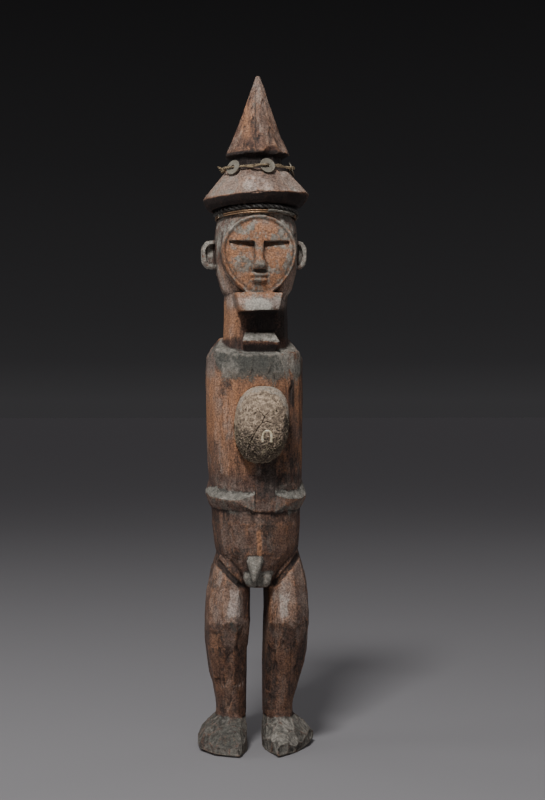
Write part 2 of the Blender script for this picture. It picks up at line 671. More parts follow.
# %% Coat of the forearms
def coat_arms(g):
    reach = np.hypot(g.x + 2, g.y * 1.02)
    edge = 272 + 0.26 * np.maximum(np.abs(g.x) - 12, 0)
    arm = within(g.z, ARMS_FOOT, edge, 1.5) * rise(reach, 49.2, 51)
    panel = within(g.x, -4.8, 15.4, 0.4) * within(g.z, 240, 300, 4) * rise(-g.y, 40, 46)
    hand = arm * (1 - panel)
    top = hand * rise(g.up + 0.03 * g.fleck, 0.06, 0.14)
    lower = hand * (1 - rise(g.up, -0.05, 0.1))
    g.lay("clay", top * (0.95 - 0.15 * rise(g.x, 20, 36) + 0.2 * g.fleck))
    g.lay("pale", top * (0.54 - 0.14 * within(g.x, -34, -17, 4) + 0.3 * g.blot))
    g.lay("pale", hand * (0.2 + 0.25 * g.blot))
    g.lay("clay", lower * rise(g.front, 0.0, 0.6) * (0.42 + 0.3 * g.fleck + 0.25 * g.blot))
    g.lay("dust", hand * (0.55 + 0.3 * g.fleck) * rise(-g.y, -20, 10))
    g.lay("bare", lower * (0.16 + 0.4 * g.fleck + 0.4 * rise(g.x, 14, 30)))
    g.lay("soot", lower * rise(-g.up, 0.2, 0.7) * (0.5 + 0.2 * g.blot))
    g.blank("clay", panel * 0.75)
    g.lay("dust", panel * (0.4 + 0.35 * g.fleck))
    g.lay("soot", panel * (0.34 + 0.3 * g.fleck))


print("the forearms are", CHEST_FOOT - ARMS_FOOT, "mm high")

# %% [markdown]
# The belly is dark, with one bare line down its middle. The parts below it are covered with pale
# clay again.

# %% Coat of the belly
def coat_belly(g):
    belly = within(g.z, FORK, ARMS_FOOT + 2, 6)
    wander = noise(g.points, 9, 17, (1, 1, 1.2), 3)
    g.lay("soot", belly * (0.46 + 0.3 * wander + 0.25 * g.fleck) * rise(g.front, -1.2, 0.3))
    g.lay("soot", within(g.z, 226, 246, 6) * rise(g.front, -0.5, 0.3) * (0.5 + 0.2 * g.blot))
    g.lay("dust", belly * rise(g.front, -0.2, 0.6) * (0.38 - 0.25 * wander + 0.3 * g.fleck))
    line = within(g.x + 4 * g.blot + 1.5 * g.fleck, -3.0, 1.4, 1.0) * within(g.z, 198, 229, 4)
    g.lay("bare", line * rise(g.front, 0.3, 0.8) * (1.1 + 0.6 * g.fleck))
    g.blank("soot", line * 0.7)
    g.blank("dust", line * 0.6)
    g.lay("bare", belly * (0.28 + 0.25 * wander + 0.4 * g.fleck))
    g.blank("soot", belly * rise(g.x, 10, 24) * 0.4)
    half = np.interp(g.z, [174, 180, 187, 196, 202], [2.4, 3.8, 6.2, 9.0, 8.0])
    member = rise(half - np.abs(g.x + 5), -0.8, 0.4) * within(g.z, 173, 202, 0.5) * rise(-g.y, 44, 48)
    g.lay("clay", member)
    g.lay("pale", member * (0.62 + 0.16 * g.fleck))
    pouch = within(g.x, -18, 15, 1) * within(g.z, FORK, 186, 2) * rise(-g.y, 35, 38) * (1 - member)
    g.lay("clay", pouch * (0.85 + 0.3 * g.fleck))
    g.lay("pale", pouch * 0.5)
    g.lay("soot", pouch * within(g.x, -9, -1, 1.5) * 0.9)


print("the belly is", ARMS_FOOT - FORK, "mm high")

# %% [markdown]
# The thighs are dusty, with a pale facet over each knee and a dark band just under the slanting
# edge of the belly. The shins are darker and blotched, with a few fine pale scratches.

# %% Coat of the legs
def groin_depth(points):
    """How far below the slanting edge of the belly each point lies, square to that edge."""
    x, _, z = points.T
    return 0.7 * np.where(x < 0, 156.3 - x - z, 159.2 + 1.07 * x - z)


def groin(points):
    """Near 1 in the narrow band of each thigh just under the slanting edge of the belly."""
    band = within(groin_depth(points), 0.6, 6.5, 1.2) * within(points[:, 2], 168, 204, 4)
    return band * rise(np.abs(points[:, 0]), 12, 16)


def coat_legs(g):
    knee = KNEE + 7 * noise(g.points, 11, 18, octaves=3) + 2 * g.fleck - 4 * within(g.x, -50, -34, 5)
    above_knee = rise(g.z, knee - 0.8, knee + 0.8) * within(g.z, 110, 206, 5)
    thigh = above_knee * rise(np.abs(g.x), 8, 14) * rise(g.front, -0.3, 0.3)
    thigh = thigh * rise(groin_depth(g.points), -0.6, 0.8)
    wander = noise(g.points, 8, 19, (1, 1, 1.8), 3)
    side = np.abs(g.x + 1)
    pale_side = within(g.x, -33, -17, 3) + within(g.x, 19, 33, 3)
    inner = rise(-side, -17, -12)
    g.lay("dust", thigh * (0.6 + 0.3 * wander + 0.25 * g.fleck + 0.14 * pale_side) * (1 - 0.7 * inner))
    g.lay("clay", thigh * (0.06 + 0.3 * wander + 0.25 * g.fleck))
    g.lay("bare", thigh * (0.6 - 0.3 * wander + 0.3 * g.fleck) * rise(g.left, -0.6, 0.2))
    g.lay("pale", thigh * (0.34 + 0.4 * wander + 0.06 * pale_side - 0.4 * rise(g.x, 33, 40)))
    wavy = 1.2 * noise(g.points, 6, 24, octaves=2)
    left_facet = rise(5 + 0.08 * (168 - g.z) + wavy - np.abs(g.x + 25.5), -0.3, 0.3)
    right_facet = rise(3.4 + 0.08 * (g.z - 140) + wavy - np.abs(g.x - 26), -0.3, 0.3)
    left_facet = left_facet * within(g.z, 139, 167, 2)
    right_facet = right_facet * within(g.z, 138, 162, 2)
    facet = thigh * np.maximum(left_facet, right_facet)
    g.lay("dust", facet * 1.2)
    g.lay("clay", facet * (0.34 + 0.25 * g.fleck + 0.2 * g.blot))
    g.lay("pale", facet * (0.92 + 0.2 * g.blot))
    shade = groin(g.points) * rise(g.front, 0, 0.4)
    g.lay("soot", shade * (0.7 + 0.2 * rise(-g.x, 0, 20)))
    g.blank("dust", shade * 0.8)
    g.blank("clay", shade)
    shin = within(g.z, ANKLE, KNEE + 4, 4) * (1 - above_knee)
    g.lay("soot", shin * (0.42 + 0.2 * wander + 0.12 * g.fleck))
    g.lay("soot", within(g.z, knee - 16, knee, 3) * shin * rise(g.front, -0.2, 0.4) * (0.12 + 0.4 * g.blot))
    g.lay("bare", shin * (0.26 - 0.4 * wander + 0.25 * g.streak + 0.2 * g.fleck))
    g.lay("bare", within(g.x, -50, -37, 3) * within(g.z, 100, 124, 5) * (0.7 + 0.3 * g.fleck))
    g.lay("dust", shin * (0.24 + 0.2 * rise(g.z, 96, 120) + 0.3 * g.blot + 0.3 * g.fleck))
    left_ring = within(g.z, 65.6 + 0.03 * g.x, 67.2 + 0.03 * g.x, 0.4) * within(g.x, -44, -14, 2)
    right_ring = within(g.z, 50.2, 51.4, 0.4) * within(g.x, 22, 27, 1)
    scratch = np.maximum(left_ring, right_ring) * rise(g.front, 0, 0.4)
    g.lay("dust", scratch * (1.2 + 0.6 * g.fleck))
    g.lay("pale", scratch * (0.6 + 0.4 * g.fleck))
    g.blank("soot", scratch)
    patch = within(g.x, -31, -19, 1.5) * within(g.z, 124, knee, 1.5) * shin * rise(g.front, 0, 0.5)
    g.lay("clay", patch * (0.5 + 0.3 * g.fleck))


print("the legs are", FORK - ANKLE, "mm high")

# %% [markdown]
# The feet are covered with clay too, palest on top, and smoked a little at their sides.

# %% Coat of the feet
def coat_feet(g):
    foot = 1 - rise(g.z, 33 + 1.5 * g.fleck, 36 + 1.5 * g.fleck)
    ankle = within(g.z, 20, 60, 3) * (1 - rise(np.hypot(np.abs(g.x) - 24, g.y * 0.7), 17, 22))
    foot = foot * (1 - ankle * rise(g.z, 31, 34))
    above = rise(g.up, 0.15, 0.5)
    outer = rise(-g.x, 30, 48)
    patch = noise(g.points, 6, 25, octaves=2)
    g.lay("dust", foot * (0.62 + 0.3 * g.fleck))
    g.lay("clay", foot * (0.66 + 0.14 * above + 0.2 * g.fleck - 0.1 * outer + 0.06 * rise(g.x, 0, 20)))
    dull = 0.46 * above * rise(-g.x, 10, 24)
    g.lay("pale", foot * (0.3 + 0.2 * above + 0.35 * g.blot + 0.2 * g.fleck - dull))
    g.lay("bare", foot * (0.2 + 0.4 * rise(patch, 0.1, 0.5)))
    g.lay("soot", foot * (0.2 - 0.2 * above - 0.08 * outer + 0.25 * g.blot))


print("the feet are", ANKLE, "mm high")

# %% All coats together
COATS = [
    coat_hat, coat_head, coat_neck, coat_yoke, coat_chest, coat_arms, coat_belly, coat_legs, coat_feet,
]


def coats(points, normals):
    ground = Ground(points, normals)
    for coat in COATS:
        coat(ground)
    return {name: np.clip(values, 0, 1) for name, values in ground.coats.items()}


print("coats:", len(COATS))

# %% [markdown]
# ## The carved figure
# The copy of the CAD solid is melted slightly, so that its shallow plank edges go and its real
# cuts stay. Then the strokes go on: long knife strokes on the hat, trunk and legs, smaller ones
# on the arms, round adze bites on the feet. Grain lines, drying cracks, chipped edges and the
# thickness of the clay follow, from coarse to fine.

# %% Strokes on the figure
def cut_strokes(skin, fine, smooth_parts):
    """Knife facets nearly everywhere, then rounder bites on the feet."""
    points = skin.points
    z = points[:, 2]
    normals = skin.normals()
    body = within(z, 40, NECK_FOOT, 3) * (1 - within(z, 236, 286, 3)) * (1 - smooth_parts)
    knife(skin, body, 13, (1, 1, 3.0), 0.8, 21)
    knife(skin, within(z, 566, 700, 2), 11, (1, 1, 5), 0.8, 22)
    knife(skin, within(z, NECK_FOOT, 560, 2) * (1 - fine), 9, (1, 1, 2.2), 0.6, 23)
    knife(skin, within(z, 246, 282, 2), 12, (1.3, 1.3, 1), 0.35, 24)
    thighs = within(z, 130, 206, 4) * rise(-normals[:, 1], 0, 0.5) * rise(np.abs(points[:, 0]), 12, 18)
    knife(skin, thighs, 7.5, (1, 1, 2.4), 0.8, 25)
    skin.push(-2.2 * groin(points) * rise(skin.normals()[:, 1], 0, -0.4))
    feet = 1 - rise(z, 32, 35)
    above_sole = feet * (z > 1)
    for _ in range(40):
        skin.points += 0.5 * above_sole[:, None] * (skin.neighbours_mean(skin.points) - skin.points)
    knife(skin, feet * (z > 1), 13, (1, 1, 1), 0.9, 26, 0.8)
    adze(skin, feet * (z > 1), 13, (1, 1, 1), 1.1, 26, 0.8)
    return feet


print("the knife goes over the figure in six rounds, and the adze over the feet")

# %% [markdown]
# Weather works on the strokes. Fine grain stands up all over, edges lose chips and grow round,
# and the log has dried into a few long cracks. Each crack is drawn through a few chosen points,
# because real ones follow the grain and don't look random.

# %% Grain, chips and cracks
# Each crack has its side (-1 front, 1 back), its points (x, z) from the top down, width and depth.
CRACKS = [
    (-1, [(-4.9, 277), (-4.8, 262), (-4.6, 245)], 0.8, 1.3),
    (-1, [(15.4, 271), (15.3, 262), (15.2, 253)], 0.8, 1.0),
    (-1, [(-31, 372), (-32.5, 330), (-33, 296)], 0.8, 0.35),
    (-1, [(-22, 350), (-23.5, 318), (-22, 290)], 0.6, 0.25),
    (1, [(6, 405), (4, 340), (9, 250), (7, 228)], 1.4, 2.2),
    (1, [(-20, 300), (-22, 262), (-21, 240)], 0.9, 1.2),
    (-1, [(-1, 694), (-2, 660), (-3, 614)], 1.1, 0.7),
    (-1, [(33, 118), (34, 90), (32, 52)], 0.8, 0.6),
]
FIRST_CRACK_SEED = 39


def crack(skin, side, stops, width, depth, seed):
    """A drying crack: a narrow wandering groove along a few points of one side."""
    stops = np.array(stops, float)
    z = skin.points[:, 2]
    middle = np.interp(z, stops[::-1, 1], stops[::-1, 0])
    middle = middle + 0.5 * noise(np.column_stack([z * 0, z * 0, z]), 5, seed, octaves=3)
    ends = np.minimum(z - stops[-1, 1], stops[0, 1] - z) / 12
    shape = np.clip(ends, 0, 1)
    near = np.abs(skin.points[:, 0] - middle) / np.maximum(width * shape, 0.01)
    facing = rise(skin.normals()[:, 1] * side, 0.3, 0.6)
    along = (z > stops[-1, 1]) * (z < stops[0, 1])
    skin.push(-depth * shape * facing * np.clip(1 - near, 0, 1) ** 0.7 * along)


def weather(skin, calm, fine, feet, smooth_parts):
    """Raised grain, chipped and rounded edges, and cracks."""
    points = skin.points
    lines = noise(points, 1.5, 31, (1, 1, 16), 2)
    waves = 0.11 * lines + 0.16 * noise(points, 9, 32, (1, 1, 2), 3)
    skin.push(calm * waves * (1 - feet) * (1 - 0.7 * smooth_parts))
    skin.push(feet * 0.09 * noise(points, 2.5, 33, octaves=3))
    edge = np.clip(skin.bulge(4) * 2.2, 0, 1)
    chips = rise(noise(points, 6.5, 34, octaves=2), 0.12, 0.5)
    brim = within(points[:, 2], HEAD_TOP, 582, 2)
    skin.push(-edge * chips * (0.5 + 1.3 * brim) * (1 - 0.8 * fine))
    skin.push(-edge * 0.25)
    for seed, (side, stops, width, depth) in enumerate(CRACKS, FIRST_CRACK_SEED):
        crack(skin, side, stops, width, depth, seed)


print("cracks:", len(CRACKS))

# %% [markdown]
# Now the steps run in their order. The clay is thick enough to feel, so the skin is lifted a
# little where its coat is strong. Last of all the soles are made level, and rounded up a little
# at their outer and front edges.

# %% Carve the figure
def carve_figure():
    piece = even_copy("figure", "carved_figure", 0.82)
    skin = Skin(piece)
    print("even skin:", len(skin.points), "points")
    skin.melt(12)
    x, y, z = skin.points.T
    sole = z < 0.6
    face = within(z, HEAD_FOOT, 552, 2) * rise(-y, 28, 34)
    fine = np.maximum(face, within(z, 450, 471, 2) * rise(-y, 40, 44))
    calm = 1 - 0.75 * fine
    smooth_parts = within(z, 163, 203, 1) * (1 - rise(np.abs(x + 1), 16, 20)) * rise(-y, 35, 40)
    feet = cut_strokes(skin, fine, smooth_parts)
    weather(skin, calm, fine, feet, smooth_parts)

    thick = rise(coats(skin.points, skin.normals())["clay"], 0.45, 0.8)
    thick = thick * (1 - smooth_parts)
    skin.push(calm * thick * (0.2 + 0.08 * noise(skin.points, 2.2, 35, octaves=2)))
    skin.points[:, 2] = np.where(sole, 0, np.maximum(skin.points[:, 2], 0))
    x, y, z = skin.points.T
    lift = 4 * rise(x, 36, 60) + 2.5 * rise(-x, 40, 58) + 1.5 * rise(-y, 40, 58)
    skin.points[:, 2] = z + lift * (1 - rise(z, 0, 12))
    skin.write()
    thin_out(piece, 194000)
    return piece


figure = carve_figure()

# %% [markdown]
# The coats are written onto the finished points as numbers from 0 to 1, next to two that the
# shape itself gives: how sharply a point stands out, where wood wears bright, and how deep it
# lies in a hollow, where dirt stays. The material reads them by name.

# %% Paint the figure
# How much more or less of each coat one stroke has than the next.
STROKE_TINTS = {"dust": 0.14, "clay": 0.1, "pale": 0.12, "soot": -0.1, "bare": 0.1}


def paint_coats(piece):
    skin = Skin(piece)
    normals = skin.normals()
    bulge = skin.bulge(3)
    wide = skin.bulge(16)
    tone, border = stroke_tones(skin.points, normals)
    layers = coats(skin.points, normals)
    for name, share in STROKE_TINTS.items():
        layers[name] = layers[name] + share * tone * rise(layers[name], 0, 0.2)
    hollow = rise(-bulge, 0.03, 0.2) + 0.7 * rise(-wide, 0.3, 1.4)
    x, y, z = skin.points.T
    beside_lump = 1 - rise(lump_reach(x, z), 1.1, 1.2)
    hollow = hollow * (1 - 0.9 * beside_lump * rise(z, 300, 330) * rise(-y, 20, 30))
    worn = rise(bulge, 0.05, 0.22) + 0.5 * rise(wide, 0.5, 1.6) + 0.25 * border
    bites = border * (1 - rise(z, 32, 35))
    layers["clay"] = layers["clay"] * (1 - 0.6 * bites)
    layers["soot"] = np.maximum(layers["soot"], 0.75 * bites)
    layers["worn"] = worn * (1 - 0.9 * rise(layers["soot"], 0.3, 0.7))
    layers["hollow"] = hollow
    for name, values in layers.items():
        skin.paint(name, values)
        print(name, "covers", round(float(np.mean(np.clip(values, 0, 1))), 2))


paint_coats(figure)

# %% [markdown]
# ## Building materials in code
# A material is a small net of nodes. One helper adds a node, sets its options and joins its
# inputs, so each net reads from top to bottom like a recipe.

# %% Node helpers
FLOAT = "NodeSocketFloat"


def add(tree, kind, inputs=None, **options):
    """A new node. Each input is a plain value or another node's output."""
    node = tree.nodes.new(kind)
    for option, value in options.items():
        setattr(node, option, value)
    for key, value in (inputs or {}).items():
        if isinstance(value, bpy.types.NodeSocket):
            tree.links.new(value, node.inputs[key])
        else:
            node.inputs[key].default_value = value
    return node


def blend(tree, share, first, second, mode="MIX"):
    """A mix of two colours."""
    inputs = {0: share, 6: first, 7: second}
    return add(tree, "ShaderNodeMix", inputs, data_type="RGBA", blend_type=mode).outputs[2]


def combine(tree, operation, *values, clamp=False):
    inputs = dict(enumerate(values))
    return add(tree, "ShaderNodeMath", inputs, operation=operation, use_clamp=clamp).outputs[0]


def ramp(tree, value, low, high):
    """0 below low, 1 above high, smooth between."""
    node = add(tree, "ShaderNodeMapRange", {0: value, 1: low, 2: high}, interpolation_type="SMOOTHSTEP")
    return node.outputs[0]


def painted(tree, name):
    return add(tree, "ShaderNodeAttribute", attribute_name=name).outputs["Fac"]


def speckled(tree, colour, speck, low, high):
    """The colour made darker and lighter by fine specks, between two factors."""
    factor = add(tree, "ShaderNodeMapRange", {0: speck, 1: 0.36, 2: 0.64, 3: low, 4: high}).outputs[0]
    grey = add(tree, "ShaderNodeCombineColor", {0: factor, 1: factor, 2: factor}).outputs[0]
    return blend(tree, 1.0, colour, grey, "MULTIPLY")


def roughen(tree, shader, height, strength, distance):
    """A fine relief in the finish, from a height that changes over the surface."""
    bump = add(tree, "ShaderNodeBump", {"Strength": strength, "Distance": distance, "Height": height})
    tree.links.new(bump.outputs[0], shader.inputs["Normal"])


print("node helpers are ready")

# %% [markdown]
# A net that several materials share is kept as a group with named inputs. A new material starts
# from Blender's standard surface.

# %% Groups and materials
def new_group(name, inputs, outputs):
    tree = bpy.data.node_groups.new(name, "ShaderNodeTree")
    for socket, value in inputs:
        made = tree.interface.new_socket(name=socket, in_out="INPUT", socket_type=FLOAT)
        made.default_value = value
    for socket in outputs:
        tree.interface.new_socket(name=socket, in_out="OUTPUT", socket_type=FLOAT)
    return tree, tree.nodes.new("NodeGroupInput"), tree.nodes.new("NodeGroupOutput")


def use(tree, group, inputs=None):
    return add(tree, "ShaderNodeGroup", inputs, node_tree=group).outputs


def new_material(name):
    material = bpy.data.materials.new(name)
    material.use_nodes = True
    tree = material.node_tree
    return material, tree, tree.nodes["Principled BSDF"]


print("groups and materials can be made")

# %% [markdown]
# Three effects are used by more than one material, so each is a group. **Grain** gives long
# fibres along the log and the fine dark pores between them. **Patchy** turns a painted coat into
# a broken one: where the coat is thin, only its thickest specks are left. **Grit** is the fine
# roughness of clay, resin and dirty fibre.

# %% Grain group
def place_along_log(tree, stretch):
    """Places on the object, squeezed along the log so that a pattern on them is drawn out."""
    place = add(tree, "ShaderNodeTexCoord").outputs["Object"]
    return add(tree, "ShaderNodeMapping", {"Vector": place, "Scale": (1, 1, stretch)}).outputs[0]


def grain_group():
    tree, _, end = new_group("grain", [], ["Fibre", "Pores", "Rings"])
    fibre = add(tree, "ShaderNodeTexNoise", {
        "Vector": place_along_log(tree, 0.05), "Scale": 900, "Detail": 4, "Roughness": 0.6,
    })
    pores = add(tree, "ShaderNodeTexNoise", {
        "Vector": place_along_log(tree, 0.03), "Scale": 2100, "Detail": 1,
    })
    rings = add(tree, "ShaderNodeTexNoise", {
        "Vector": place_along_log(tree, 0.3), "Scale": 150, "Detail": 4, "Distortion": 0.6,
    })
    tree.links.new(fibre.outputs[0], end.inputs[0])
    tree.links.new(ramp(tree, pores.outputs[0], 0.58, 0.7), end.inputs[1])
    tree.links.new(rings.outputs[0], end.inputs[2])
    return tree


GRAIN = grain_group()
print(GRAIN.name, "has", len(GRAIN.nodes), "nodes")

# %% Patchy group
def patchy_group():
    inputs = [("Cover", 0.5), ("Speck Size", 700.0), ("Broken", 0.7)]
    tree, start, end = new_group("patchy", inputs, ["Mask"])
    place = add(tree, "ShaderNodeTexCoord").outputs["Object"]
    specks = add(tree, "ShaderNodeTexNoise", {
        "Vector": place, "Scale": start.outputs[1], "Detail": 5, "Roughness": 0.68,
    })
    patches = add(tree, "ShaderNodeTexNoise", {"Vector": place, "Scale": 120, "Detail": 3})
    weak_specks = combine(tree, "MULTIPLY", specks.outputs[0], 0.9)
    both = combine(tree, "MULTIPLY_ADD", patches.outputs[0], 0.5, weak_specks)
    spread = combine(tree, "MULTIPLY", combine(tree, "SUBTRACT", both, 0.7), start.outputs[2])
    level = combine(tree, "ADD", start.outputs[0], combine(tree, "MULTIPLY", spread, 3.0))
    tree.links.new(ramp(tree, level, 0.32, 0.68), end.inputs[0])
    return tree


PATCHY = patchy_group()


def broken(tree, cover, size, raggedness):
    """Where a painted coat is left once its edges and thin parts have broken up into specks."""
    return use(tree, PATCHY, {"Cover": cover, "Speck Size": size, "Broken": raggedness})["Mask"]


print(PATCHY.name, "has", len(PATCHY.nodes), "nodes")

# %% Grit group
def grit_group():
    tree, start, end = new_group("grit", [("Size", 1200.0)], ["Height", "Tone", "Speck"])
    place = add(tree, "ShaderNodeTexCoord").outputs["Object"]
    fine = add(tree, "ShaderNodeTexNoise", {
        "Vector": place, "Scale": start.outputs[0], "Detail": 4, "Roughness": 0.65,
    })
    broad = add(tree, "ShaderNodeTexNoise", {"Vector": place, "Scale": 260, "Detail": 4})
    speck = add(tree, "ShaderNodeTexNoise", {"Vector": place, "Scale": 560, "Detail": 3, "Roughness": 0.7})
    tree.links.new(fine.outputs[0], end.inputs[0])
    tree.links.new(broad.outputs[0], end.inputs[1])
    tree.links.new(speck.outputs[0], end.inputs[2])
    return tree


GRIT = grit_group()
print(GRIT.name, "has", len(GRIT.nodes), "nodes")

# %% [markdown]
# ## Old carved wood
# From the inside out: red-brown wood with grain, orange where it is bare, black where smoke and
# oil lie, bright on worn edges, and clay over it all, thickest where the coat was rubbed on. The
# clay also fills the grain, so the wood is rough where it is covered and faintly glossy where
# hands polished it.

# %% Colours of the wood
WOOD_DARK = (0.06, 0.031, 0.023, 1)
WOOD_RED = (0.15, 0.078, 0.056, 1)
WOOD_ORANGE = (0.5, 0.235, 0.115, 1)
SOOT = (0.018, 0.014, 0.013, 1)
DUST = (0.34, 0.265, 0.22, 1)
DUST_PALE = (0.6, 0.5, 0.44, 1)
CLAY_DARK = (0.12, 0.125, 0.11, 1)
CLAY_GREY = (0.27, 0.26, 0.225, 1)
CLAY_PALE = (0.58, 0.54, 0.47, 1)


def wood_colour(tree, grain, grit, clay_mask):
    soot = painted(tree, "soot")
    bare = painted(tree, "bare")
    dust = painted(tree, "dust")
    pale = painted(tree, "pale")
    tone = combine(tree, "MULTIPLY_ADD", grain["Rings"], 0.9, combine(tree, "MULTIPLY", grain["Fibre"], 0.5))
    colour = blend(tree, ramp(tree, tone, 0.45, 0.95), WOOD_DARK, WOOD_RED)
    bare_mask = combine(tree, "MULTIPLY_ADD", broken(tree, bare, 420.0, 0.6), 0.45, 0.45)
    colour = blend(tree, combine(tree, "MULTIPLY", bare_mask, bare, clamp=True), colour, WOOD_ORANGE)
    soot_mask = broken(tree, soot, 300.0, 0.4)
    colour = blend(tree, combine(tree, "MULTIPLY", soot_mask, 0.86), colour, SOOT)
    colour = blend(tree, combine(tree, "MULTIPLY", grain["Pores"], 0.4), colour, SOOT)
    dust_mask = combine(tree, "MULTIPLY_ADD", broken(tree, dust, 900.0, 0.5), 0.5, 0.3)
    dust_tone = blend(tree, ramp(tree, pale, 0.3, 1.0), DUST, DUST_PALE)
    colour = blend(tree, combine(tree, "MULTIPLY", dust_mask, dust, clamp=True), colour, dust_tone)
    worn_mask = combine(tree, "MULTIPLY", painted(tree, "worn"), ramp(tree, grit["Tone"], 0.38, 0.62))
    colour = blend(tree, combine(tree, "MULTIPLY", worn_mask, 0.4), colour, WOOD_ORANGE)

    shade = combine(tree, "ADD", pale, combine(tree, "MULTIPLY_ADD", grit["Tone"], 1.2, -0.6))
    clay_tone = blend(tree, ramp(tree, shade, 0.05, 0.5), CLAY_DARK, CLAY_GREY)
    clay_tone = blend(tree, ramp(tree, shade, 0.45, 1.05), clay_tone, CLAY_PALE)
    colour = blend(tree, combine(tree, "MULTIPLY", clay_mask, 0.85), colour, clay_tone)
    colour = blend(tree, combine(tree, "MULTIPLY", painted(tree, "hollow"), 0.6), colour, SOOT)
    grainy = speckled(tree, colour, grit["Speck"], 0.5, 1.5)
    return blend(tree, combine(tree, "MULTIPLY_ADD", clay_mask, -0.4, 1.0), colour, grainy)


print("wood, soot, dust and clay have nine colours")

# %% [markdown]
# The relief comes last. Fibres and specks stand up, pores are sunk, and the clay lies over them.

# %% Wood material
def wood_material():
    material, tree, shader = new_material("old_carved_wood")
    grain = use(tree, GRAIN)
    grit = use(tree, GRIT, {"Size": 1500.0})
    clay_mask = broken(tree, painted(tree, "clay"), 650.0, 0.62)
    tree.links.new(wood_colour(tree, grain, grit, clay_mask), shader.inputs["Base Color"])
    rough = add(tree, "ShaderNodeMapRange", {0: clay_mask, 3: 0.56, 4: 0.93}).outputs[0]
    rough = combine(tree, "MULTIPLY_ADD", grain["Fibre"], 0.12, rough, clamp=True)
    tree.links.new(rough, shader.inputs["Roughness"])
    height = combine(tree, "MULTIPLY", grain["Fibre"], 0.6)
    height = combine(tree, "SUBTRACT", height, combine(tree, "MULTIPLY", grain["Pores"], 0.35))
    height = combine(tree, "MULTIPLY_ADD", grit["Height"], 0.5, height)
    height = combine(tree, "MULTIPLY_ADD", grit["Speck"], 0.9, height)
    height = combine(tree, "MULTIPLY_ADD", clay_mask, 0.25, height)
    roughen(tree, shader, height, 0.9, 0.0008)
    shader.inputs["Specular IOR Level"].default_value = 0.35
    return material


wood = wood_material()
figure.data.materials.append(wood)
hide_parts("figure")
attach(figure, "root")
print("figure is dressed")

# %% [markdown]
# ## The chest charge
# The lump is hardened resin and earth: a pale smooth band round its top edge, a cracked and
# pitted crust below it, dark and crumbling at its foot. It is carved like the figure, with
# cracks as the borders of uneven cells and pits as the tops of a noise.

# %% Carve the lump
# The long split in the crust and its two side branches: points (x, z) and half width.
SPLITS = [
    ([(2.5, 344), (0.5, 338), (-4, 333), (-10, 322), (-13, 314)], 0.9),
    ([(0.5, 338), (4.5, 339.5), (9, 338)], 0.7),
    ([(-4, 352), (0, 347), (2.5, 344), (7, 349)], 0.6),
]


def groove(points, stops, width):
    """How near each point lies to a line through (x, z) stops, from 0 to 1."""
    best = np.full(len(points), 1e9)
    wander = 0.7 * noise(points, 3, 77, octaves=2)
    flat = points[:, [0, 2]] + wander[:, None]
    for start, end in zip(stops[:-1], stops[1:]):
        start = np.array(start, float)
        line = np.array(end, float) - start
        share = np.clip((flat - start) @ line / (line @ line), 0, 1)
        best = np.minimum(best, np.linalg.norm(flat - start - share[:, None] * line, axis=1))
    return np.clip(1 - best / width, 0, 1)


def carve_lump():
    piece = even_copy("chest_charge", "resin_lump", 0.55)
    skin = Skin(piece)
    skin.melt(20, 0.9)
    points = skin.points
    x, y, z = points.T
    out = rise(-y, 42, 47)
    reach = lump_reach(x, z) + 0.05 * noise(points, 9, 70, octaves=2)
    rim = rise(reach, 0.86, 0.95) * rise(z, 345, 358)
    low = 1 - rise(z, 318, 340)
    rough = out * (0.6 + 0.4 * low) * (1 - 0.5 * rim)
    skin.push(rough * (0.8 * noise(points, 9, 71, octaves=2) + 0.4 * noise(points, 4.2, 72, octaves=4)))
    skin.push(out * (0.42 + 0.2 * low) * noise(points, 1.5, 78, octaves=2))
    knobs = np.abs(noise(points, 3.2, 81, octaves=2))
    skin.push(out * low * (0.9 * (1 - rise(knobs, 0.0, 0.25)) - 0.3))
    pits = rise(noise(points, 1.9, 73), 0.35, 0.7) * rise(noise(points, 7, 79), -0.4, 0.2)
    skin.push(-out * pits * 0.8)
    crust = out > 0.1
    _, inside, _ = cells(points, skin.normals(), crust, 7.5, (1, 1, 1), 74)
    net = np.zeros(len(points))
    net[crust] = 1 - rise(inside + 0.12 * noise(points[crust], 2.5, 80, octaves=2), 0.0, 0.14)
    skin.push(-out * net * rise(noise(points, 11, 75), 0.0, 0.4) * 0.4 * (1 - rim))
    split = np.max([groove(points, stops, width) for stops, width in SPLITS], axis=0)
    skin.push(-out * split * 1.3)
    skin.push(0.8 * within(-y, 38, 46, 2) * rise(z, 320, 345))
    skin.write()
    thin_out(piece, 80000)
    return piece


print("splits in the crust:", len(SPLITS))

# %% [markdown]
# The lump then gets four painted layers: the grey rim at the top, the dark crust at the foot, in
# the left hollow and along the edges, and the worn and hollow parts that its own shape gives.

